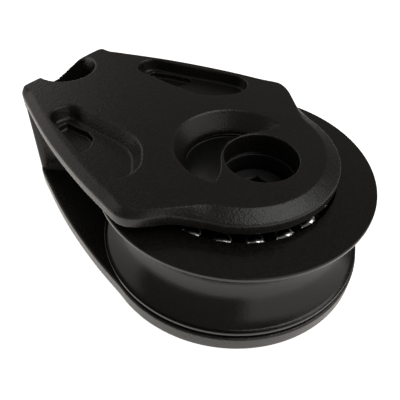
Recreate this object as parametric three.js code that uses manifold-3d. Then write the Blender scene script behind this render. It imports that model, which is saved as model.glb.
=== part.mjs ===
// Single sheave block, about 61 x 41 x 20 mm: a one-piece forked body, a rope
// sheave on two rows of balls, a bearing hub with a strop hole, and one
// through bolt.  Millimetres, +Z along the sheave axis, +X from the head to the
// sheave end.  The block lies on the outer face of its lower cheek, and the row
// origin is the bottom centre of its bounding box.
import * as THREE from 'three';
import { mergeVertices } from 'three/addons/utils/BufferGeometryUtils.js';
import Module from 'manifold-3d';

const wasm = await Module();
wasm.setup();

// ---- driving dimensions (mm), measured from the sheave centre ----
const SHEAVE_R = 20.0;          // rim radius, 40 mm sheave
const SHEAVE_HALF = 6.2;        // half the width over the flanges
const GROOVE_R = 16.3;          // radius at the bottom of the rope groove
const GROOVE_ARC = 6.52;        // radius of the groove section
const RACE_R = 15.05;           // bore of the sheave over the balls
const LAND_R = 14.4;            // bore of the sheave between the ball rows
const MOUTH_R = 14.45;          // recess in each flange face
const BALL_R = 1.5;
const BALL_PITCH_R = 13.15;
const BALL_Z = 4.3;
const BALLS = 20;
const CHEEK_IN = 6.7;           // inner face of each cheek
const CHEEK_EDGE = 9.1;         // where the outer bevel starts
const CHEEK_OUT = 10.05;        // outer face of each cheek
const HEAD_X = -35.95;          // end plane of the head
const LOWER_R = 20.28;          // round end of the lower cheek
const UPPER_R = 14.39;          // round end of the upper cheek
const HUB_HALF = 6.4;
const HUB_R = 11.2;             // bearing hub under the balls
const HUB_LAND_R = 11.9;        // bearing hub between the ball rows
const BOLT_X = 3.9;             // bolt axis, off the sheave axis
const BOLT_HOLE_R = 5.15;
const SHANK_HOLE_R = 3.3;
const SCOOP_X = -0.6;           // axis of the strop hole
const EYE_X = -35.2;            // eye in the head
const EYE_R = 5.0;

const DARK = 0x232322;
const mat = (color, roughness, metalness) => new THREE.MeshStandardMaterial({ color, roughness, metalness });
const anodised = mat(DARK, 0.55, 0.6);
const sheaveMat = mat(0x1d1d1c, 0.42, 0.6);
const steel = mat(0xb9bbbd, 0.2, 1.0);
const hubMat = mat(0x20201f, 0.6, 0.4);
const cageMat = mat(0x111111, 0.5, 0.0);
const boltMat = mat(0x2b2c2e, 0.35, 0.9);

// ---- closed solids and booleans ----
function solid(geometry) {
  const g = geometry.index ? geometry.toNonIndexed() : geometry.clone();
  g.deleteAttribute('normal');
  g.deleteAttribute('uv');
  const m = mergeVertices(g, 1e-5);
  return new wasm.Manifold(new wasm.Mesh({
    numProp: 3,
    vertProperties: new Float32Array(m.attributes.position.array),
    triVerts: new Uint32Array(m.index.array),
  }));
}

function geometryOf(manifold) {
  const mesh = manifold.getMesh();
  const g = new THREE.BufferGeometry();
  g.setAttribute('position', new THREE.BufferAttribute(new Float32Array(mesh.vertProperties), 3));
  g.setIndex(new THREE.BufferAttribute(new Uint32Array(mesh.triVerts), 1));
  g.computeVertexNormals();
  return g;
}

// A closed loft through level sections, each a list of [x, y] with the same count.
function loft(levels) {
  const n = levels[0].points.length;
  const area = THREE.ShapeUtils.area(levels[0].points.map((p) => new THREE.Vector2(p[0], p[1])));
  const loops = levels.map((l) => ({ z: l.z, points: area < 0 ? [...l.points].reverse() : l.points }));
  const pos = [];
  const idx = [];
  for (const l of loops) for (const p of l.points) pos.push(p[0], p[1], l.z);
  for (let k = 0; k + 1 < loops.length; k += 1) {
    for (let i = 0; i < n; i += 1) {
      const a = k * n + i;
      const b = k * n + ((i + 1) % n);
      idx.push(a, b, b + n, a, b + n, a + n);
    }
  }
  const cap = (l, base, flip) => {
    const tris = THREE.ShapeUtils.triangulateShape(l.points.map((p) => new THREE.Vector2(p[0], p[1])), []);
    for (const t of tris) idx.push(base + t[0], base + (flip ? t[2] : t[1]), base + (flip ? t[1] : t[2]));
  };
  cap(loops[0], 0, true);
  cap(loops[loops.length - 1], (loops.length - 1) * n, false);
  const g = new THREE.BufferGeometry();
  g.setAttribute('position', new THREE.Float32BufferAttribute(pos, 3));
  g.setIndex(idx);
  return solid(g);
}

function prism(points, z0, z1) {
  const shape = new THREE.Shape(points.map((p) => new THREE.Vector2(p[0], p[1])));
  const g = new THREE.ExtrudeGeometry(shape, { depth: z1 - z0, bevelEnabled: false, curveSegments: 1 });
  g.translate(0, 0, z0);
  return solid(g);
}

// Solid of revolution about Z through (cx, 0); the profile is a closed list of [r, z].
function revolve(profile, segments, cx = 0) {
  const pts = profile.map((p) => new THREE.Vector2(p[0], p[1]));
  if (profile[0][0] > 1e-6) pts.push(pts[0].clone());
  const g = new THREE.LatheGeometry(pts, segments);
  g.rotateX(Math.PI / 2);
  g.translate(cx, 0, 0);
  let s = solid(g);
  if (s.volume() < 0 || s.isEmpty()) {
    const back = new THREE.LatheGeometry([...pts].reverse(), segments);
    back.rotateX(Math.PI / 2);
    back.translate(cx, 0, 0);
    s = solid(back);
  }
  return s;
}

const disc = (r, z0, z1, seg, cx = 0) => revolve([[0, z0], [r, z0], [r, z1], [0, z1]], seg, cx);
const mirrorY = (half) => [...half, ...[...half].reverse().filter((p) => Math.abs(p[1]) > 1e-6).map((p) => [p[0], -p[1]])];
const mirrorZ = (m) => m.mirror([0, 0, 1]);

// ---- outline of the cheeks ----
const SIDE = [[HEAD_X, 7.6], [-35.9, 8.35], [-35.6, 8.95], [-35.05, 9.35], [-33.2, 10.25], [-31.0, 11.22], [-28.85, 12.18],
  [-26.0, 13.4], [-22.6, 14.72], [-18.2, 16.22], [-15.2, 17.13], [-12.6, 17.86], [-10.0, 18.5], [-7.6, 19.03]];
const arc = (r, a0, a1, n) => Array.from({ length: n + 1 }, (_, i) => {
  const a = ((a0 + ((a1 - a0) * i) / n) * Math.PI) / 180;
  return [r * Math.cos(a), r * Math.sin(a)];
});
const UPPER_HALF = [...SIDE, [-5.9, 19.4], [-4.7, 19.58], [-3.7, 19.5], [-2.8, 19.12], [-2.0, 18.55], [-1.1, 17.65],
  [-0.2, 16.6], [0.8, 15.65], [2.0, 14.9], [3.3, 14.25], ...arc(UPPER_R, 71.5, 0, 15)];
const LOWER_HALF = [...SIDE, [-5.9, 19.4], ...arc(LOWER_R, 102.5, 0, 20)];
const upperOutline = mirrorY(UPPER_HALF);
const lowerOutline = mirrorY(LOWER_HALF);

// Move an outline inwards by a width that varies along it.
function inset(points, width) {
  const n = points.length;
  const area = THREE.ShapeUtils.area(points.map((p) => new THREE.Vector2(p[0], p[1])));
  const s = area > 0 ? 1 : -1;
  return points.map((p, i) => {
    const a = points[(i + n - 1) % n];
    const b = points[(i + 1) % n];
    const n1 = new THREE.Vector2(-(p[1] - a[1]), p[0] - a[0]).normalize();
    const n2 = new THREE.Vector2(-(b[1] - p[1]), b[0] - p[0]).normalize();
    const m = n1.clone().add(n2).normalize();
    const k = width(p) / Math.max(0.6, m.dot(n1));
    return [p[0] + s * m.x * k, p[1] + s * m.y * k];
  });
}
const ramp = (x, x0, x1, w0, w1) => w0 + (w1 - w0) * Math.min(1, Math.max(0, (x - x0) / (x1 - x0)));
const upperBevel = (p) => {
  if (p[0] < -35.7) return 0.45;
  if (p[0] < -34.6) return 0.8;
  if (p[0] < -7.6) return 1.25;
  if (p[0] < -2.9) return ramp(p[0], -7.6, -3.2, 1.1, 0.8);
  if (p[0] < 0.2) return ramp(p[0], -2.9, 0.2, 0.7, 0.35);
  return ramp(p[0], 0.2, 4.5, 0.35, 2.1);
};
const lowerBevel = (p) => {
  if (p[0] < -35.7) return 0.45;
  if (p[0] < -34.6) return 0.8;
  return 1.2;
};
const upperPlate = loft([
  { z: CHEEK_IN, points: upperOutline },
  { z: CHEEK_EDGE, points: upperOutline },
  { z: CHEEK_OUT, points: inset(upperOutline, upperBevel) },
]);
const lowerPlate = mirrorZ(loft([
  { z: CHEEK_IN, points: lowerOutline },
  { z: CHEEK_EDGE, points: lowerOutline },
  { z: CHEEK_OUT, points: inset(lowerOutline, lowerBevel) },
]));

// ---- head: web between the cheeks, rounded nose and its eye ----
const WEB_HALF = [[HEAD_X, 7.6], [-35.9, 8.35], [-35.6, 8.92], [-35.2, 9.0], [-34.7, 8.5], [-34.1, 7.65], [-33.4, 6.95], [-32.1, 6.25],
  [-30.6, 5.45], [-29.2, 4.4], [-28.2, 3.1], [-27.5, 1.6], [-27.3, 0]];
const web = prism(mirrorY(WEB_HALF), -CHEEK_IN - 0.4, CHEEK_IN + 0.4);

// The nose stands ahead of the head end plane: rounded in plan and from the side.
const NOSE_HALF = [[-33.0, 6.6], [-35.9, 6.6], [-36.5, 6.35], [-37.4, 5.7], [-38.4, 4.75], [-39.4, 3.4], [-40.3, 2.0], [-40.9, 1.0], [-41.2, 0]];
const NOSE_SIDE = [[-29, 10.6], [-34.6, 10.25], [-35.2, 10.02], [-35.95, 9.68], [-36.67, 9.2], [-37.35, 8.63], [-37.95, 7.92],
  [-38.5, 7.23], [-38.92, 6.58], [-39.22, 6.1], [-39.6, 5.4], [-40.2, 4.15], [-40.7, 2.9], [-41.05, 1.5], [-41.2, 0]];
const noseSide = [...NOSE_SIDE, ...NOSE_SIDE.slice(0, -1).reverse().map((p) => [p[0], -p[1]])];
const noseProfile = prism(noseSide, -9, 9).rotate([90, 0, 0]);
const noseBlock = prism(mirrorY(NOSE_HALF), -CHEEK_OUT + 0.02, CHEEK_OUT - 0.02).intersect(noseProfile);

// The eye goes right through: half round towards the sheave, slightly flattened towards the nose.
const eyePlan = arc(EYE_R, -90, 90, 18).map((p) => [p[0] + EYE_X, p[1]]);
for (let i = 1; i < 16; i += 1) {
  const t = (Math.PI * i) / 16;
  eyePlan.push([EYE_X - 4.2 * Math.sin(t), EYE_R * Math.cos(t)]);
}
const eye = prism(eyePlan, -12, 12);

// ---- pockets ----
const POCKET = [[-26.4, 9.7], [-25.9, 8.0], [-25.0, 7.2], [-24.0, 6.95], [-17.5, 6.95], [-14.0, 7.1], [-12.2, 7.45],
  [-10.4, 8.45], [-9.2, 9.6], [-8.0, 11.1], [-7.5, 12.5], [-7.5, 13.8], [-8.1, 15.1], [-9.2, 15.95], [-10.6, 16.2],
  [-12.6, 15.8], [-17.0, 14.35], [-20.4, 13.25], [-23.4, 12.4], [-25.0, 11.9], [-26.0, 11.0]];
const POCKET_FLOOR = 8.0;
const mouthTop = [[-26.4, 9.7], [-25.9, 8.0], [-25.0, 7.2], [-24.0, 6.95], [-19, 6.95], [-19, 13.6], [-23.4, 12.4], [-25.0, 11.9], [-26.0, 11.0]];
const mouthLow = [[-24.6, 9.3], [-24.4, 8.3], [-24.0, 7.8], [-23.3, 7.6], [-19, 7.6], [-19, 10.9], [-23.0, 10.6], [-24.0, 10.45], [-24.4, 10.0]];
const mouth = loft([{ z: 7.15, points: mouthLow }, { z: 9.9, points: mouthTop }, { z: 11, points: mouthTop }])
  .subtract(disc(22.5, 0, 14, 60));
const pocketLeft = prism(POCKET, POCKET_FLOOR, 11).add(mouth);
const pocketRight = pocketLeft.mirror([0, 1, 0]);
const pockets = pocketLeft.add(pocketRight);

// ---- strop hole and bolt hole ----
const scoopProfile = [[0, 0]];
scoopProfile.push([6.7, 0], [6.72, 7.2], [6.9, 8.3], [7.3, 9.15], [7.9, 9.75], [8.6, 10.05], [8.6, 12], [0, 12]);
const bossSide = [[9, 9.4], [2.3, 9.4], [1.9, 8.1], [1.35, 6.4], [0.6, 5.0], [-0.35, 3.7], [-1.15, 2.1], [-1.6, 0]];
const boss = prism(mirrorY(bossSide.map((p) => [p[0], p[1]])).map((p) => [p[0], p[1]]), -13, 13);
const scoop = revolve(scoopProfile, 48, SCOOP_X).subtract(boss);
const straightStrop = disc(6.7, -12, 12, 48, SCOOP_X).subtract(boss);

let body = upperPlate.add(lowerPlate).add(web).add(noseBlock).subtract(eye);
body = body.subtract(pockets).subtract(mirrorZ(pockets));
body = body.subtract(scoop).subtract(mirrorZ(scoop));
body = body.subtract(disc(BOLT_HOLE_R, 5, 12, 40, BOLT_X));
body = body.subtract(disc(SHANK_HOLE_R, -8.3, -5, 32, BOLT_X)).subtract(disc(BOLT_HOLE_R, -12, -8.25, 40, BOLT_X));

// ---- bearing hub between the cheeks ----
let hub = revolve([[0, -HUB_HALF], [HUB_R, -HUB_HALF], [HUB_R, -2.3], [HUB_LAND_R, -1.8], [HUB_LAND_R, 1.8], [HUB_R, 2.3],
  [HUB_R, HUB_HALF], [0, HUB_HALF]], 60);
hub = hub.subtract(straightStrop);
hub = hub.subtract(disc(SHANK_HOLE_R, -8, 8, 32, BOLT_X)).subtract(disc(BOLT_HOLE_R, 0.6, 8, 40, BOLT_X));

// ---- sheave ----
const outer = [[19.88, SHEAVE_HALF], [SHEAVE_R, SHEAVE_HALF - 0.12], [SHEAVE_R, 5.78]];
for (let i = 1; i < 10; i += 1) {
  const z = 5.78 * Math.cos((Math.PI * i) / 10);
  outer.push([GROOVE_R + GROOVE_ARC - Math.sqrt(GROOVE_ARC ** 2 - z ** 2), z]);
}
outer.push([SHEAVE_R, -5.78], [SHEAVE_R, -SHEAVE_HALF + 0.12], [19.88, -SHEAVE_HALF]);
const inner = [[MOUTH_R, -SHEAVE_HALF], [MOUTH_R, -5.55], [RACE_R, -5.2], [RACE_R, -2.6], [LAND_R, -2.0], [LAND_R, 2.0],
  [RACE_R, 2.6], [RACE_R, 5.2], [MOUTH_R, 5.55], [MOUTH_R, SHEAVE_HALF]];
const sheave = revolve([...outer, ...inner], 60);

// ---- ball cages: a ring with fingers between the balls ----
function cage(sign) {
  let ring = revolve([[12.5, 2.0], [13.8, 2.0], [13.8, 2.55], [12.5, 2.55]], 44);
  for (let i = 0; i < BALLS; i += 1) {
    const a = (i * 360) / BALLS;
    const g = new THREE.BoxGeometry(1.0, 0.34, 2.4);
    g.translate(BALL_PITCH_R, 0, 3.5);
    g.rotateZ((a * Math.PI) / 180);
    ring = ring.add(solid(g));
  }
  return sign > 0 ? ring : mirrorZ(ring);
}

// ---- through bolt and its nut ----
const hexRing = (r) => Array.from({ length: 6 }, (_, i) => [BOLT_X + r * Math.cos((i * Math.PI) / 3), r * Math.sin((i * Math.PI) / 3)]);
let bolt = revolve([[0, -9.3], [2.75, -9.3], [3.0, -9.05], [3.0, 0.9], [4.75, 0.9], [4.75, 3.7], [4.35, 4.1], [0, 4.1]], 36, BOLT_X);
bolt = bolt.subtract(prism(hexRing(2.9), 1.7, 5));
const nut = revolve([[3.3, -8.6], [4.8, -8.6], [4.8, -9.55], [4.5, -9.85], [3.3, -9.85]], 36, BOLT_X)
  .subtract(prism([[BOLT_X - 5.5, -0.6], [BOLT_X - 3.9, -0.6], [BOLT_X - 3.9, 0.6], [BOLT_X - 5.5, 0.6]], -10.2, -9.2))
  .subtract(prism([[BOLT_X + 3.9, -0.6], [BOLT_X + 5.5, -0.6], [BOLT_X + 5.5, 0.6], [BOLT_X + 3.9, 0.6]], -10.2, -9.2));

// ---- scene graph ----
const group = new THREE.Group();
const assembly = new THREE.Group();
// Bottom centre of the bounding box becomes the row origin.
const X_MIN = -41.2;
assembly.position.set(-(X_MIN + LOWER_R) / 2, 0, CHEEK_OUT);
group.add(assembly);
function put(name, manifold, material) {
  const mesh = new THREE.Mesh(geometryOf(manifold), material);
  mesh.name = name;
  assembly.add(mesh);
  return mesh;
}
put('block_body', body, anodised);
put('bearing_hub', hub, hubMat);
put('sheave', sheave, sheaveMat);
put('ball_cage_upper', cage(1), cageMat);
put('ball_cage_lower', cage(-1), cageMat);
put('hub_bolt', bolt, boltMat);
put('hub_nut', nut, boltMat);
const ball = solid(new THREE.IcosahedronGeometry(BALL_R, 1));
for (const [row, z] of [['upper', BALL_Z], ['lower', -BALL_Z]]) {
  for (let i = 0; i < BALLS; i += 1) {
    const a = ((i + 0.5) * 2 * Math.PI) / BALLS;
    const mesh = put(`ball_${row}_${String(i + 1).padStart(2, '0')}`, ball, steel);
    mesh.position.set(BALL_PITCH_R * Math.cos(a), BALL_PITCH_R * Math.sin(a), z);
  }
}

export default group;
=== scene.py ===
import math

import bmesh
import bpy
import numpy as np
from mathutils import Matrix, Vector


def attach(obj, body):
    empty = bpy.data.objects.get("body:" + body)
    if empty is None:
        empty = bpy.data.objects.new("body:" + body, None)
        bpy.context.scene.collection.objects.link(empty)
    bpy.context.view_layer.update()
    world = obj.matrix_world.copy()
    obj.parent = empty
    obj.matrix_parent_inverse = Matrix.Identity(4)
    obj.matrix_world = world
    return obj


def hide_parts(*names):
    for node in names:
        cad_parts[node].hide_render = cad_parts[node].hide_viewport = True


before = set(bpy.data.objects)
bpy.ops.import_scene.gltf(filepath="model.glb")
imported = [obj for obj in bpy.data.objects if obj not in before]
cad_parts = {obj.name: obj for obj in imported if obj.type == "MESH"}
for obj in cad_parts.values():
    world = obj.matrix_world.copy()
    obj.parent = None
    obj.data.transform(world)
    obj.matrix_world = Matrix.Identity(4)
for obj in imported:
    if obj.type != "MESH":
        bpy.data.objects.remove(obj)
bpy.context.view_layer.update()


# ---------------------------------------------------------------- the frame
# Sizes below are in millimetres from the sheave centre, as in the CAD source.
OX, OZ = 10.46, 10.05
MM = 0.001

# ---------------------------------------------------------------- camera
AZ, EL, ROLL = (math.radians(a) for a in (35.244, 43.826, 2.291))
DIST, FPX = 71.684, 469.532
TARGET = Vector((-3.619, -3.435, 0.0))


def make_camera():
    back = Vector((math.sin(AZ) * math.cos(EL), -math.cos(AZ) * math.cos(EL), math.sin(EL)))
    place = TARGET + back * DIST
    fwd = -back
    right = fwd.cross(Vector((0, 0, 1))).normalized()
    up = right.cross(fwd)
    r2 = right * math.cos(ROLL) + up * math.sin(ROLL)
    u2 = -right * math.sin(ROLL) + up * math.cos(ROLL)
    data = bpy.data.cameras.new("camera")
    cam = bpy.data.objects.new("camera", data)
    bpy.context.scene.collection.objects.link(cam)
    data.sensor_width = 36.0
    data.lens = FPX / 400 * 36.0
    data.clip_start = 0.002
    data.clip_end = 20.0
    m = Matrix((r2, u2, back)).transposed().to_4x4()
    m.translation = (place + Vector((OX, 0, OZ))) * MM
    cam.matrix_world = m
    bpy.context.scene.camera = cam


make_camera()
bpy.context.scene.view_settings.view_transform = "Standard"
bpy.context.scene.view_settings.look = "None"


# ---------------------------------------------------------------- mesh helpers (mm, sheave frame)
def new_object(name, verts, faces):
    me = bpy.data.meshes.new(name)
    me.from_pydata([tuple(v) for v in verts], [], [tuple(f) for f in faces])
    me.update()
    ob = bpy.data.objects.new(name, me)
    bpy.context.scene.collection.objects.link(ob)
    bm = bmesh.new()
    bm.from_mesh(me)
    bmesh.ops.recalc_face_normals(bm, faces=bm.faces)
    bm.to_mesh(me)
    bm.free()
    return ob


def loft(name, levels):
    """Closed loft through level sections [(z, points), ...] with equal counts."""
    n = len(levels[0][1])
    verts, faces = [], []
    for z, pts in levels:
        verts += [(p[0], p[1], z) for p in pts]
    for k in range(len(levels) - 1):
        for i in range(n):
            a, b = k * n + i, k * n + (i + 1) % n
            faces.append((a, b, b + n, a + n))
    faces.append(tuple(range(n - 1, -1, -1)))
    faces.append(tuple((len(levels) - 1) * n + i for i in range(n)))
    ob = new_object(name, verts, faces)
    bm = bmesh.new()
    bm.from_mesh(ob.data)
    bmesh.ops.triangulate(bm, faces=[f for f in bm.faces if len(f.verts) > 4])
    bmesh.ops.recalc_face_normals(bm, faces=bm.faces)
    bm.to_mesh(ob.data)
    bm.free()
    return ob


def prism(name, pts, z0, z1):
    return loft(name, [(z0, pts), (z1, pts)])


def lathe(name, profile, segments, cx=0.0, closed=True):
    """Solid of revolution about Z through (cx, 0). profile [(r, z)], closed on itself, or ending on the axis."""
    verts, faces = [], []
    rows = []
    for r, z in profile:
        if r < 1e-6:
            rows.append([len(verts)])
            verts.append((cx, 0.0, z))
        else:
            row = []
            for i in range(segments):
                a = 2 * math.pi * i / segments
                row.append(len(verts))
                verts.append((cx + r * math.cos(a), r * math.sin(a), z))
            rows.append(row)
    pairs = list(zip(rows, rows[1:]))
    if closed:
        pairs.append((rows[-1], rows[0]))
    for A, B in pairs:
        if len(A) == 1 and len(B) == 1:
            continue
        for i in range(segments):
            j = (i + 1) % segments
            if len(A) == 1:
                faces.append((A[0], B[j], B[i]))
            elif len(B) == 1:
                faces.append((A[i], A[j], B[0]))
            else:
                faces.append((A[i], A[j], B[j], B[i]))
    return new_object(name, verts, faces)


def disc(name, r, z0, z1, seg=96, cx=0.0):
    return lathe(name, [(0, z0), (r, z0), (r, z1), (0, z1)], seg, cx, closed=False)


def bake(ob):
    """Apply all modifiers."""
    dg = bpy.context.evaluated_depsgraph_get()
    me = bpy.data.meshes.new_from_object(ob.evaluated_get(dg))
    ob.modifiers.clear()
    old = ob.data
    ob.data = me
    bpy.data.meshes.remove(old)
    return ob


def boolean(a, b, op, keep=False):
    m = a.modifiers.new("b", "BOOLEAN")
    m.operation = op
    m.object = b
    m.solver = "MANIFOLD"
    bake(a)
    if not keep:
        bpy.data.objects.remove(b)
    return a


def cut(a, b, keep=False):
    return boolean(a, b, "DIFFERENCE", keep)


def add(a, b, keep=False):
    return boolean(a, b, "UNION", keep)


def common(a, b, keep=False):
    return boolean(a, b, "INTERSECT", keep)


def mirrored(ob, axis):
    me = ob.data.copy()
    s = [1, 1, 1]
    s[axis] = -1
    me.transform(Matrix.Diagonal((*s, 1)))
    me.flip_normals()
    c = bpy.data.objects.new(ob.name + "_m", me)
    bpy.context.scene.collection.objects.link(c)
    return c


def mark_wear(ob, passes=2):
    """Store how convex each vertex is, for the worn edges in the materials."""
    me = ob.data
    n = len(me.vertices)
    co, no = np.empty(n * 3), np.empty(n * 3)
    me.vertices.foreach_get("co", co)
    me.vertices.foreach_get("normal", no)
    co, no = co.reshape(-1, 3), no.reshape(-1, 3)
    e = np.empty(len(me.edges) * 2, dtype=np.int64)
    me.edges.foreach_get("vertices", e)
    a, b = e.reshape(-1, 2).T
    d = co[a] - co[b]
    d /= np.maximum(np.linalg.norm(d, axis=1), 1e-12)[:, None]
    count = np.maximum(np.bincount(a, minlength=n) + np.bincount(b, minlength=n), 1)
    w = (np.bincount(a, (no[a] * d).sum(1), n) - np.bincount(b, (no[b] * d).sum(1), n)) / count
    for _ in range(passes):
        w = 0.5 * w + 0.5 * (np.bincount(a, w[b], n) + np.bincount(b, w[a], n)) / count
    at = me.attributes.new("wear", "FLOAT", "POINT")
    at.data.foreach_set("value", w.astype(np.float32))


def wear_of(nt, lo, hi):
    at = nt.nodes.new("ShaderNodeAttribute")
    at.attribute_name = "wear"
    return map_range(nt, at.outputs["Fac"], lo, hi, 0.0, 1.0)


def place(ob, body, slot, material, nodes, smooth_angle=None):
    """From the sheave frame in mm to the row frame in metres, then on its body."""
    ob.data.transform(Matrix.Translation(Vector((OX, 0, OZ)) * MM) @ Matrix.Scale(MM, 4))
    for p in ob.data.polygons:
        p.use_smooth = True
    mark_wear(ob)
    if smooth_angle is not None:
        ob.data.set_sharp_from_angle(angle=math.radians(smooth_angle))
    ob.data.materials.clear()
    ob.data.materials.append(material)
    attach(ob, body)
    if nodes:
        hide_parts(*nodes)
    return ob


def spline(points, step, closed=False, corners=()):
    """Centripetal curve through points, resampled to about `step` mm. Points in corners stay sharp."""
    P = [np.array(p, float) for p in points]
    n = len(P)
    out = []
    spans = n if closed else n - 1
    for i in range(spans):
        p1, p2 = P[i], P[(i + 1) % n]
        if closed:
            p0, p3 = P[(i - 1) % n], P[(i + 2) % n]
        else:
            p0 = P[i - 1] if i > 0 else 2 * p1 - p2
            p3 = P[i + 2] if i + 2 < n else 2 * p2 - p1
        if i in corners:
            p0 = 2 * p1 - p2
        if (i + 1) % n in corners:
            p3 = 2 * p2 - p1
        t1 = max(np.linalg.norm(p1 - p0), 1e-6) ** 0.5
        t2 = t1 + max(np.linalg.norm(p2 - p1), 1e-6) ** 0.5
        t3 = t2 + max(np.linalg.norm(p3 - p2), 1e-6) ** 0.5
        k = max(1, int(math.ceil(np.linalg.norm(p2 - p1) / step)))
        for j in range(k):
            t = t1 + (t2 - t1) * j / k
            a1 = (t1 - t) / t1 * p0 + t / t1 * p1
            a2 = (t2 - t) / (t2 - t1) * p1 + (t - t1) / (t2 - t1) * p2
            a3 = (t3 - t) / (t3 - t2) * p2 + (t - t2) / (t3 - t2) * p3
            b1 = (t2 - t) / t2 * a1 + t / t2 * a2
            b2 = (t3 - t) / (t3 - t1) * a2 + (t - t1) / (t3 - t1) * a3
            c = (t2 - t) / (t2 - t1) * b1 + (t - t1) / (t2 - t1) * b2
            out.append((float(c[0]), float(c[1])))
    if not closed:
        out.append((float(P[-1][0]), float(P[-1][1])))
    return out


def mirror_y(half):
    return list(half) + [(p[0], -p[1]) for p in reversed(half) if abs(p[1]) > 1e-6]


def area2(points):
    s = 0.0
    for i, p in enumerate(points):
        q = points[(i + 1) % len(points)]
        s += p[0] * q[1] - q[0] * p[1]
    return s


def inset(points, width):
    """Outline moved inwards by width, a number or a function of the point."""
    n = len(points)
    s = 1 if area2(points) > 0 else -1
    out = []
    for i, p in enumerate(points):
        a, b = points[i - 1], points[(i + 1) % n]
        n1 = Vector((-(p[1] - a[1]), p[0] - a[0])).normalized()
        n2 = Vector((-(b[1] - p[1]), b[0] - p[0])).normalized()
        m = (n1 + n2).normalized()
        w = width(p) if callable(width) else width
        k = w / max(0.6, m.dot(n1))
        out.append((p[0] + s * m.x * k, p[1] + s * m.y * k))
    return out


def arc(r, a0, a1, n, cx=0.0):
    return [(cx + r * math.cos(math.radians(a0 + (a1 - a0) * i / n)), r * math.sin(math.radians(a0 + (a1 - a0) * i / n))) for i in range(n + 1)]


def ramp(x, x0, x1, w0, w1):
    t = min(1.0, max(0.0, (x - x0) / (x1 - x0)))
    t = t * t * (3 - 2 * t)
    return w0 + (w1 - w0) * t


# ---------------------------------------------------------------- materials
def nodes_of(name):
    m = bpy.data.materials.new(name)
    m.use_nodes = True
    nt = m.node_tree
    nt.nodes.clear()
    out = nt.nodes.new("ShaderNodeOutputMaterial")
    p = nt.nodes.new("ShaderNodeBsdfPrincipled")
    nt.links.new(p.outputs[0], out.inputs[0])
    return m, nt, p


def noise(nt, coord, scale, detail=3.0, rough=0.55, dist=0.0):
    n = nt.nodes.new("ShaderNodeTexNoise")
    n.inputs["Scale"].default_value = scale
    n.inputs["Detail"].default_value = detail
    n.inputs["Roughness"].default_value = rough
    n.inputs["Distortion"].default_value = dist
    nt.links.new(coord, n.inputs["Vector"])
    return n.outputs["Fac"]


def ramp_node(nt, fac, stops):
    r = nt.nodes.new("ShaderNodeValToRGB")
    el = r.color_ramp.elements
    el[0].position, el[0].color = stops[0][0], (*stops[0][1], 1)
    el[1].position, el[1].color = stops[-1][0], (*stops[-1][1], 1)
    for pos, col in stops[1:-1]:
        e = el.new(pos)
        e.color = (*col, 1)
    nt.links.new(fac, r.inputs[0])
    return r.outputs[0]


def mix(nt, fac, a, b, mode="MIX"):
    m = nt.nodes.new("ShaderNodeMix")
    m.data_type = "RGBA"
    m.blend_type = mode
    for key, v in ((0, fac), (6, a), (7, b)):
        if isinstance(v, (int, float)):
            m.inputs[key].default_value = v
        elif isinstance(v, tuple):
            m.inputs[key].default_value = (*v, 1)
        else:
            nt.links.new(v, m.inputs[key])
    return m.outputs[2]


def math_node(nt, op, a, b=None, clamp=False):
    m = nt.nodes.new("ShaderNodeMath")
    m.operation = op
    m.use_clamp = clamp
    for i, v in enumerate((a, b)):
        if v is None:
            continue
        if isinstance(v, (int, float)):
            m.inputs[i].default_value = v
        else:
            nt.links.new(v, m.inputs[i])
    return m.outputs[0]


def map_range(nt, v, a, b, c, d):
    m = nt.nodes.new("ShaderNodeMapRange")
    nt.links.new(v, m.inputs[0])
    for i, x in enumerate((a, b, c, d)):
        m.inputs[i + 1].default_value = x
    return m.outputs[0]


def blasted(name, dark, light, edge, roughness, grain=3600.0, bump=1.0, metallic=0.0, spec=0.5, spread=0.06):
    """Hard anodised, bead-blasted aluminium: grain, cloudy dye, paler worn edges."""
    m, nt, p = nodes_of(name)
    tc = nt.nodes.new("ShaderNodeTexCoord")
    co = tc.outputs["Object"]
    fine = noise(nt, co, grain, 2.0, 0.6)
    mid = noise(nt, co, grain * 0.22, 3.0, 0.6)
    cloud = noise(nt, co, 120.0, 4.0, 0.55)
    base = ramp_node(nt, cloud, [(0.3, dark), (0.7, light)])
    speck = ramp_node(nt, fine, [(0.32, tuple(c * 0.72 for c in light)), (0.5, light), (0.7, tuple(min(1, c * 1.5) for c in light))])
    base = mix(nt, 0.55, base, speck)
    worn = wear_of(nt, 0.02, 0.12)
    broken = math_node(nt, "MULTIPLY", worn, map_range(nt, mid, 0.35, 0.7, 0.25, 1.0), True)
    base = mix(nt, broken, base, edge)
    nt.links.new(base, p.inputs["Base Color"])
    r1 = map_range(nt, fine, 0.3, 0.7, roughness - spread, roughness + spread)
    r2 = map_range(nt, cloud, 0.3, 0.7, -0.03, 0.03)
    nt.links.new(math_node(nt, "ADD", r1, r2, True), p.inputs["Roughness"])
    b = nt.nodes.new("ShaderNodeBump")
    b.inputs["Strength"].default_value = bump
    b.inputs["Distance"].default_value = 0.00005
    h = math_node(nt, "ADD", fine, math_node(nt, "MULTIPLY", mid, 0.6))
    nt.links.new(h, b.inputs["Height"])
    nt.links.new(b.outputs[0], p.inputs["Normal"])
    p.inputs["Metallic"].default_value = metallic
    p.inputs["Specular IOR Level"].default_value = spec
    return m


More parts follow.
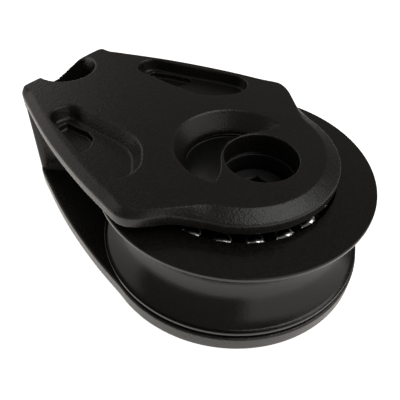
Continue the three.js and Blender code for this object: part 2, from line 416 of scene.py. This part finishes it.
def turned(name, dark, light, edge, roughness, axis_x=OX * MM, metallic=0.0, bump=0.2, spec=0.5, ring_scale=2600.0):
    """Turned and anodised: faint rings about the sheave axis over a fine grain."""
    m, nt, p = nodes_of(name)
    tc = nt.nodes.new("ShaderNodeTexCoord")
    co = tc.outputs["Object"]
    sep = nt.nodes.new("ShaderNodeSeparateXYZ")
    nt.links.new(co, sep.inputs[0])
    dx = math_node(nt, "SUBTRACT", sep.outputs[0], axis_x)
    rr = math_node(nt, "SQRT", math_node(nt, "ADD", math_node(nt, "MULTIPLY", dx, dx), math_node(nt, "MULTIPLY", sep.outputs[1], sep.outputs[1])))
    comb = nt.nodes.new("ShaderNodeCombineXYZ")
    nt.links.new(rr, comb.inputs[0])
    nt.links.new(sep.outputs[2], comb.inputs[1])
    rings = noise(nt, comb.outputs[0], ring_scale, 2.0, 0.6)
    fine = noise(nt, co, 3600.0, 3.0, 0.65)
    cloud = noise(nt, co, 140.0, 4.0, 0.55)
    base = ramp_node(nt, cloud, [(0.3, dark), (0.7, light)])
    speck = ramp_node(nt, fine, [(0.38, tuple(c * 0.45 for c in light)), (0.62, tuple(min(1, c * 1.9) for c in light))])
    base = mix(nt, 0.6, base, speck)
    worn = wear_of(nt, 0.02, 0.12)
    base = mix(nt, math_node(nt, "MULTIPLY", worn, 0.8, True), base, edge)
    nt.links.new(base, p.inputs["Base Color"])
    r1 = map_range(nt, rings, 0.3, 0.7, roughness - 0.04, roughness + 0.04)
    r2 = map_range(nt, fine, 0.35, 0.65, -0.04, 0.06)
    nt.links.new(math_node(nt, "ADD", r1, r2, True), p.inputs["Roughness"])
    b = nt.nodes.new("ShaderNodeBump")
    b.inputs["Strength"].default_value = bump
    b.inputs["Distance"].default_value = 0.00007
    nt.links.new(math_node(nt, "ADD", math_node(nt, "MULTIPLY", rings, 0.3), fine), b.inputs["Height"])
    nt.links.new(b.outputs[0], p.inputs["Normal"])
    p.inputs["Metallic"].default_value = metallic
    p.inputs["Specular IOR Level"].default_value = spec
    return m


BODY = blasted("body_anodised", (0.0066, 0.0062, 0.0057), (0.0092, 0.0086, 0.0078), (0.028, 0.0255, 0.0225), 0.3)
SHEAVE = turned("sheave_anodised", (0.0062, 0.0058, 0.0053), (0.0088, 0.0082, 0.0075), (0.028, 0.0255, 0.0225), 0.12, bump=0.35)
HUB = blasted("hub_anodised", (0.006, 0.006, 0.006), (0.01, 0.01, 0.01), (0.03, 0.03, 0.03), 0.45)
CAGE = blasted("cage_plastic", (0.006, 0.006, 0.006), (0.01, 0.01, 0.01), (0.015, 0.015, 0.015), 0.4, grain=5000.0, bump=0.15)
BOLT = turned("bolt_steel", (0.008, 0.008, 0.008), (0.013, 0.013, 0.013), (0.05, 0.05, 0.05), 0.36, axis_x=(OX + 3.9) * MM, metallic=0.3)


def steel():
    m, nt, p = nodes_of("ball_steel")
    tc = nt.nodes.new("ShaderNodeTexCoord")
    n = noise(nt, tc.outputs["Object"], 1500.0, 3.0)
    nt.links.new(ramp_node(nt, n, [(0.3, (0.62, 0.63, 0.65)), (0.7, (0.78, 0.79, 0.8))]), p.inputs["Base Color"])
    nt.links.new(map_range(nt, n, 0.3, 0.7, 0.02, 0.05), p.inputs["Roughness"])
    p.inputs["Metallic"].default_value = 1.0
    return m


STEEL = steel()

# ---------------------------------------------------------------- the forked body
SHEAVE_R, LOWER_R, UPPER_R = 20.0, 20.28, 14.39
CHEEK_IN, CHEEK_EDGE, CHEEK_OUT = 6.7, 9.1, 10.05
BOLT_X, BOLT_R = 3.9, 5.15
SCOOP_X = -0.6
HEAD_X = -35.95
SIDE = [(HEAD_X, 0.0), (HEAD_X, 7.6), (-35.9, 8.35), (-35.6, 8.93), (-35.05, 9.34), (-33.2, 10.24), (-31.0, 11.21), (-28.85, 12.17),
        (-26.0, 13.39), (-22.6, 14.71), (-18.2, 16.21), (-15.2, 17.12), (-12.6, 17.85), (-10.0, 18.48), (-7.6, 19.01)]
UPPER = SIDE + [(-5.9, 19.4), (-4.7, 19.58), (-3.7, 19.5), (-2.8, 19.12), (-2.0, 18.55), (-1.1, 17.65), (-0.2, 16.6),
                (0.8, 15.65), (2.0, 14.9), (3.3, 14.25)] + arc(UPPER_R, 71.5, 0, 15)
LOWER = SIDE + [(-5.9, 19.4)] + arc(LOWER_R, 102.5, 0, 20)


def half_curve(points, step=0.35):
    return spline(points, step, corners=(0, 1, len(points) - 1))


def bevel_upper(p):
    x = p[0]
    if x < -35.6:
        return 0.45
    if x < -7.6:
        return ramp(x, -35.6, -33.9, 0.5, 1.25)
    if x < -3.0:
        return ramp(x, -7.6, -3.4, 1.25, 0.85)
    if x < 0.2:
        return ramp(x, -3.0, 0.2, 0.8, 0.4)
    return ramp(x, 0.2, 5.5, 0.4, 2.1)


def bevel_lower(p):
    return 0.45 if p[0] < -35.6 else ramp(p[0], -35.6, -33.9, 0.5, 1.2)


def make_body():
    up = mirror_y(half_curve(UPPER))
    lo = mirror_y(half_curve(LOWER))
    under = inset(up, lambda p: ramp(p[0], -34.6, -32.0, 0.0, 1.0))
    body = loft("block_body_shape", [(CHEEK_IN, under), (7.65, up), (CHEEK_EDGE, up), (CHEEK_OUT, inset(up, bevel_upper))])
    low = loft("low", [(-CHEEK_OUT, inset(lo, bevel_lower)), (-CHEEK_EDGE, lo), (-CHEEK_IN, lo)])
    add(body, low)
    # web with fillets into the cheeks
    web_half = [(HEAD_X, 0.0), (HEAD_X, 7.6), (-35.9, 8.35), (-35.6, 8.9), (-35.2, 9.0), (-34.75, 8.6), (-34.1, 7.7), (-33.4, 6.97), (-32.1, 6.25),
                (-30.6, 5.45), (-29.2, 4.4), (-28.2, 3.1), (-27.5, 1.6), (-27.3, 0.0)]
    web = mirror_y(spline(web_half, 0.3, corners=(0, 1, len(web_half) - 1)))

    def flare(w):
        return inset(web, lambda p: -w * min(1.0, max(0.0, (p[0] + 34.9) / 1.2)))

    levels = []
    for z, w in ((-7.1, 0.9), (-6.7, 0.9), (-6.45, 0.52), (-6.15, 0.25), (-5.8, 0.07), (-5.4, 0.0), (5.4, 0.0), (5.8, 0.07), (6.15, 0.25), (6.45, 0.52), (6.7, 0.9), (7.1, 0.9)):
        levels.append((z, flare(w) if w else web))
    add(body, loft("web", levels))
    # nose, rounded in plan and from the side, with the eye through it
    nose_half = [(-33.2, 6.2), (-34.5, 7.7), (-35.5, 7.9), (-36.2, 7.4), (-37.2, 6.35), (-38.3, 5.1), (-39.4, 3.55), (-40.3, 2.05), (-40.9, 1.0), (-41.17, 0.0)]
    nose = prism("nose", mirror_y(spline(nose_half, 0.3, corners=(0, 1, 2))), -CHEEK_OUT + 0.02, CHEEK_OUT - 0.02)
    nose_side = [(-29, 10.6), (-34.6, 10.25), (-35.2, 10.02), (-35.95, 9.68), (-36.67, 9.2), (-37.35, 8.63), (-37.95, 7.92),
                 (-38.5, 7.23), (-38.92, 6.58), (-39.22, 6.1), (-39.6, 5.4), (-40.2, 4.15), (-40.7, 2.9), (-41.05, 1.5), (-41.18, 0.0)]
    side = spline(nose_side, 0.3, corners=(0, 1))
    side = side + [(p[0], -p[1]) for p in reversed(side[:-1])]
    prof = prism("prof", side, -9, 9)
    prof.data.transform(Matrix.Rotation(math.radians(90), 4, "X"))
    common(nose, prof)
    add(body, nose)
    eye = [(p[0] - 35.2, p[1]) for p in arc(5.0, -90, 90, 64)]
    eye += [(-35.2 - 4.2 * math.sin(math.pi * k / 56), 5.0 * math.cos(math.pi * k / 56)) for k in range(1, 56)]
    cut(body, prism("eye", eye, -12, 12))
    # pockets
    pocket = [(-26.4, 9.7), (-25.9, 8.0), (-25.0, 7.2), (-24.0, 6.95), (-21.0, 6.95), (-17.5, 6.95), (-14.0, 7.1), (-12.2, 7.45), (-10.4, 8.45),
              (-9.2, 9.6), (-8.0, 11.1), (-7.5, 12.5), (-7.5, 13.8), (-8.1, 15.1), (-9.2, 15.95), (-10.6, 16.2), (-12.6, 15.8),
              (-17.0, 14.35), (-20.4, 13.25), (-23.4, 12.4), (-25.0, 11.9), (-26.0, 11.0)]
    pocket = spline(pocket, 0.3, closed=True)
    top = [(-26.4, 9.7), (-25.9, 8.0), (-25.0, 7.2), (-24.0, 6.95), (-19, 6.95), (-19, 13.6), (-23.4, 12.4), (-25.0, 11.9), (-26.0, 11.0)]
    low = [(-24.6, 9.3), (-24.4, 8.3), (-24.0, 7.8), (-23.3, 7.6), (-19, 7.6), (-19, 10.9), (-23.0, 10.6), (-24.0, 10.45), (-24.4, 10.0)]
    recess = [(-24.9, 9.3), (-22.4, 9.2), (-20.7, 9.0), (-19.0, 9.5), (-17.95, 11.2), (-17.8, 12.6), (-18.6, 13.2), (-22.0, 12.2), (-25.0, 10.9)]
    mouth = prism("mouth", recess, 7.0, 9.0)
    def slope(w):
        return inset(pocket, lambda p: w * (0.25 + ramp(p[1] - 9.6 - 0.19 * (p[0] + 26.4), -0.6, 1.1, 1.1, 0.0) * ramp(p[0], -26.4, -22.5, 0.25, 1.0)))

    pk = loft("pocket", [(8.0, slope(1.0)), (8.15, slope(0.92)), (10.05, pocket), (11, inset(pocket, lambda p: -0.5))])
    add(pk, mouth)
    pk2 = mirrored(pk, 1)
    add(pk, pk2)
    pk3 = mirrored(pk, 2)
    cut(body, pk)
    cut(body, pk3)
    # strop hole
    funnel = [(0, 0), (6.7, 0), (6.7, 7.0), (6.78, 7.35), (7.0, 7.75), (8.4, 9.75), (8.62, 9.97), (8.8, 10.06), (8.8, 12), (0, 12)]
    sc = lathe("scoop", funnel, 160, SCOOP_X, closed=False)
    boss = [(9, 9.4), (2.3, 9.4), (1.9, 8.1), (1.35, 6.4), (0.6, 5.0), (-0.35, 3.7), (-1.15, 2.1), (-1.6, 0)]
    boss_c = [(9, 9.4)] + spline(boss[1:], 0.25, corners=(0,))
    bs = prism("boss", mirror_y(boss_c), -13, 13)
    cut(sc, bs)
    sc2 = mirrored(sc, 2)
    cut(body, sc)
    cut(body, sc2)
    cut(body, disc("d", BOLT_R, 5, 12, 128, BOLT_X))
    cut(body, disc("d", 3.3, -8.3, -5, 96, BOLT_X))
    cut(body, disc("d", BOLT_R, -12, -8.25, 128, BOLT_X))
    return body


def soften(ob, voxel, passes, target):
    """Even mesh, edges rounded as blasting leaves them, then thinned to about target faces."""
    m = ob.modifiers.new("r", "REMESH")
    m.mode = "VOXEL"
    m.voxel_size = voxel
    m.adaptivity = 0.0
    m.use_smooth_shade = True
    bake(ob)
    s = ob.modifiers.new("s", "SMOOTH")
    s.factor = 0.5
    s.iterations = passes
    bake(ob)
    n = sum(len(p.vertices) - 2 for p in ob.data.polygons)
    if n > target:
        d = ob.modifiers.new("d", "DECIMATE")
        d.ratio = target / n
        bake(ob)
    return ob


body = make_body()


def keep_inside(ob, lo, hi):
    n = len(ob.data.vertices)
    co = np.empty(n * 3)
    ob.data.vertices.foreach_get("co", co)
    co = co.reshape(-1, 3)
    np.clip(co, lo, hi, out=co)
    ob.data.vertices.foreach_set("co", co.ravel())


soften(body, 0.17, 4, 190000)
keep_inside(body, (-41.19, -20.26, -CHEEK_OUT + 0.002), (20.27, 20.26, CHEEK_OUT - 0.002))
place(body, "frame", "body_anodised", BODY, ["block_body"])

# ---------------------------------------------------------------- bearing hub
hub = lathe("bearing_hub_shape", [(0, -6.4), (10.9, -6.4), (11.2, -6.1), (11.2, -2.3), (11.9, -1.8), (11.9, 1.8), (11.2, 2.3), (11.2, 6.1), (10.9, 6.4), (0, 6.4)], 160, 0, closed=False)
strop = disc("strop", 6.7, -12, 12, 160, SCOOP_X)
boss_h = [(9, 9.4), (2.3, 9.4), (1.9, 8.1), (1.35, 6.4), (0.6, 5.0), (-0.35, 3.7), (-1.15, 2.1), (-1.6, 0)]
cut(strop, prism("boss", mirror_y([(9, 9.4)] + spline(boss_h[1:], 0.25, corners=(0,))), -13, 13))
cut(hub, strop)
cut(hub, disc("d", 3.3, -8, 8, 96, BOLT_X))
cut(hub, disc("d", BOLT_R, 0.6, 8, 128, BOLT_X))
soften(hub, 0.2, 2, 60000)
place(hub, "frame", "hub_anodised", HUB, ["bearing_hub"])


# ---------------------------------------------------------------- sheave
def rounded(points, radius, steps=5):
    """Corners of a closed profile rounded; radius is one number or one for each point."""
    out = []
    n = len(points)
    for i, p in enumerate(points):
        r = radius[i] if isinstance(radius, (list, tuple)) else radius
        P = Vector(p)
        a, b = Vector(points[i - 1]) - P, Vector(points[(i + 1) % n]) - P
        la, lb = a.length, b.length
        if r < 1e-6:
            out.append(tuple(P))
            continue
        ang = a.angle(b)
        d = min(r / math.tan(ang / 2), la * 0.45, lb * 0.45)
        q0, q1 = P + a / la * d, P + b / lb * d
        for k in range(steps + 1):
            t = k / steps
            out.append(tuple((1 - t) ** 2 * q0 + 2 * t * (1 - t) * P + t * t * q1))
    return out


def sheave_profile():
    pts, rad = [], []

    def put(r, z, c):
        pts.append((r, z))
        rad.append(c)

    put(19.88, 6.2, 0.04)
    put(20.0, 6.08, 0.04)
    put(20.0, 5.62, 0.1)
    G, A = 16.3, 6.52
    for i in range(1, 40):
        z = 5.62 * math.cos(math.pi * i / 40)
        r = min(G + A - math.sqrt(A * A - z * z), 19.97)
        put(r, z, 0)
    put(20.0, -5.62, 0.1)
    put(20.0, -6.08, 0.04)
    put(19.88, -6.2, 0.04)
    for s in (-1, 1):
        seq = [(14.45, 6.2, 0.1), (14.45, 5.55, 0.05), (15.05, 5.2, 0.05), (15.05, 2.6, 0.05), (14.4, 2.0, 0.05)]
        if s > 0:
            seq = seq[::-1]
        for r, z, c in seq:
            put(r, s * z, c)
    pts = rounded(pts, rad, 4)
    out = []
    for i, p in enumerate(pts):
        q = pts[(i + 1) % len(pts)]
        out.append(p)
        d = math.hypot(q[0] - p[0], q[1] - p[1])
        if d > 0.5:
            for t in (0.06 / d, 1 - 0.06 / d):
                out.append((p[0] + (q[0] - p[0]) * t, p[1] + (q[1] - p[1]) * t))
    return out


sh = lathe("sheave_shape", sheave_profile(), 288)
place(sh, "sheave", "sheave_anodised", SHEAVE, ["sheave"], smooth_angle=32)


# ---------------------------------------------------------------- balls and cages
def ball_row(name, z, nodes):
    bm = bmesh.new()
    for i in range(20):
        a = 2 * math.pi * (i + 0.5) / 20
        bmesh.ops.create_icosphere(bm, subdivisions=4, radius=1.5, matrix=Matrix.Translation((13.15 * math.cos(a), 13.15 * math.sin(a), z)))
    me = bpy.data.meshes.new(name)
    bm.to_mesh(me)
    bm.free()
    ob = bpy.data.objects.new(name, me)
    bpy.context.scene.collection.objects.link(ob)
    return place(ob, "ball_train", "ball_steel", STEEL, nodes)


def cage(name, sign, node):
    ring = lathe(name, rounded([(12.5, 2.0), (13.8, 2.0), (13.8, 2.55), (12.5, 2.55)], 0.08, 3), 176)
    for i in range(20):
        a = i * 2 * math.pi / 20
        finger = prism("f", rounded([(-0.5, -0.17), (0.5, -0.17), (0.5, 0.17), (-0.5, 0.17)], 0.06, 3), 2.3, 4.68)
        finger.data.transform(Matrix.Rotation(a, 4, "Z") @ Matrix.Translation((13.15, 0, 0)))
        add(ring, finger)
    if sign < 0:
        ring.data.transform(Matrix.Diagonal((1, 1, -1, 1)))
        ring.data.flip_normals()
    return place(ring, "ball_train", "cage_plastic", CAGE, [node], smooth_angle=35)


names = sorted(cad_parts)
ball_row("ball_row_upper", 4.3, [n for n in names if n.startswith("ball_upper_")])
ball_row("ball_row_lower", -4.3, [n for n in names if n.startswith("ball_lower_")])
cage("cage_upper_shape", 1, "ball_cage_upper")
cage("cage_lower_shape", -1, "ball_cage_lower")

# ---------------------------------------------------------------- hub bolt and nut
bolt = lathe("hub_bolt_shape", [(0, -9.3), (2.7, -9.3), (3.0, -9.0), (3.0, 0.9), (4.65, 0.9), (4.8, 1.05), (4.8, 3.75), (4.72, 3.95), (4.5, 4.08), (0, 4.1)], 128, BOLT_X, closed=False)
hexa = [(BOLT_X + 2.9 * math.cos(i * math.pi / 3), 2.9 * math.sin(i * math.pi / 3)) for i in range(6)]
cut(bolt, prism("hex", hexa, 1.7, 5))
cut(bolt, lathe("lead", [(0, 3.6), (2.3, 3.6), (3.4, 4.7), (0, 4.7)], 96, BOLT_X, closed=False))
place(bolt, "frame", "bolt_steel", BOLT, ["hub_bolt"], smooth_angle=30)
nut = lathe("hub_nut_shape", rounded([(3.3, -8.6), (4.8, -8.6), (4.8, -9.55), (4.5, -9.85), (3.3, -9.85)], 0.08, 3), 128, BOLT_X)
for s in (-1, 1):
    cut(nut, prism("slot", [(BOLT_X + s * 3.9, -0.6), (BOLT_X + s * 5.5, -0.6), (BOLT_X + s * 5.5, 0.6), (BOLT_X + s * 3.9, 0.6)][::s], -10.2, -9.2))
place(nut, "frame", "bolt_steel", BOLT, ["hub_nut"], smooth_angle=30)


# ---------------------------------------------------------------- floor and light
def area(name, size, energy, where, at=(0, 0, 0.008), colour=(1, 1, 1), size_y=None):
    d = bpy.data.lights.new(name, "AREA")
    d.energy = energy
    d.size = size
    if size_y:
        d.shape = "RECTANGLE"
        d.size_y = size_y
    d.color = colour
    o = bpy.data.objects.new(name, d)
    bpy.context.scene.collection.objects.link(o)
    o.location = where
    o.rotation_euler = (Vector(at) - Vector(where)).to_track_quat("-Z", "Y").to_euler()
    return o


floor_me = bpy.data.meshes.new("floor")
floor_me.from_pydata([(-3, -3, -0.00002), (3, -3, -0.00002), (3, 3, -0.00002), (-3, 3, -0.00002)], [], [(0, 1, 2, 3)])
floor = bpy.data.objects.new("floor", floor_me)
bpy.context.scene.collection.objects.link(floor)
fm, fnt, fp = nodes_of("floor")
fp.inputs["Base Color"].default_value = (0.9, 0.9, 0.9, 1)
fp.inputs["Roughness"].default_value = 0.9
fp.inputs["Specular IOR Level"].default_value = 0.1
fp.inputs["Emission Color"].default_value = (1, 1, 1, 1)
fp.inputs["Emission Strength"].default_value = 0.95
clear = fnt.nodes.new("ShaderNodeBsdfTransparent")
side = fnt.nodes.new("ShaderNodeNewGeometry")
blend = fnt.nodes.new("ShaderNodeMixShader")
fnt.links.new(side.outputs["Backfacing"], blend.inputs[0])
fnt.links.new(fp.outputs[0], blend.inputs[1])
fnt.links.new(clear.outputs[0], blend.inputs[2])
fnt.links.new(blend.outputs[0], next(n for n in fnt.nodes if n.type == "OUTPUT_MATERIAL").inputs[0])
floor_me.materials.append(fm)
floor.visible_glossy = False


def studio():
    """White below the horizon, dim above it, with one wide soft panel on each side of the object."""
    world = bpy.data.worlds.new("studio")
    bpy.context.scene.world = world
    world.use_nodes = True
    nt = world.node_tree
    bg = nt.nodes["Background"]
    tc = nt.nodes.new("ShaderNodeTexCoord")
    sep = nt.nodes.new("ShaderNodeSeparateXYZ")
    nt.links.new(tc.outputs["Generated"], sep.inputs[0])
    x, y, z = sep.outputs

    def step(v, a, b):
        m = nt.nodes.new("ShaderNodeMapRange")
        m.interpolation_type = "SMOOTHSTEP"
        nt.links.new(v, m.inputs[0])
        for k, q in enumerate((a, b, 0.0, 1.0)):
            m.inputs[k + 1].default_value = q
        return m.outputs[0]

    flat = math_node(nt, "SQRT", math_node(nt, "ADD", math_node(nt, "MULTIPLY", x, x), math_node(nt, "MULTIPLY", y, y)))

    def panel(azimuth, half, z0, z1, level, soft=0.03):
        c, s = math.cos(math.radians(azimuth)), math.sin(math.radians(azimuth))
        d = math_node(nt, "ADD", math_node(nt, "MULTIPLY", x, c), math_node(nt, "MULTIPLY", y, s))
        side = math_node(nt, "DIVIDE", d, flat)
        edge = math.cos(math.radians(half))
        a = step(side, edge - soft, edge + soft)
        v = math_node(nt, "MULTIPLY", step(z, z0 - 0.04, z0 + 0.04), step(z, z1 + 0.05, z1 - 0.05))
        return math_node(nt, "MULTIPLY", math_node(nt, "MULTIPLY", a, v), level)

    total = math_node(nt, "MULTIPLY", step(z, -0.2, -0.34), LOW)
    total = math_node(nt, "ADD", total, SKY)
    total = math_node(nt, "ADD", total, panel(8, 48, -0.3, 0.62, RIGHT))
    total = math_node(nt, "ADD", total, panel(-174, 40, -0.3, 0.6, LEFT))
    nt.links.new(total, bg.inputs["Strength"])
    bg.inputs[0].default_value = (1.0, 0.955, 0.895, 1)
    plain = nt.nodes.new("ShaderNodeBackground")
    plain.inputs[0].default_value = (1, 1, 1, 1)
    path = nt.nodes.new("ShaderNodeLightPath")
    swap = nt.nodes.new("ShaderNodeMixShader")
    nt.links.new(path.outputs["Is Camera Ray"], swap.inputs[0])
    nt.links.new(bg.outputs[0], swap.inputs[1])
    nt.links.new(plain.outputs[0], swap.inputs[2])
    nt.links.new(swap.outputs[0], next(n for n in nt.nodes if n.type == "OUTPUT_WORLD").inputs[0])


LOW, SKY, RIGHT, LEFT = 0.95, 0.145, 0.66, 0.5
studio()
area("key", 0.55, 1.7, (0.3, 0.22, 0.75))
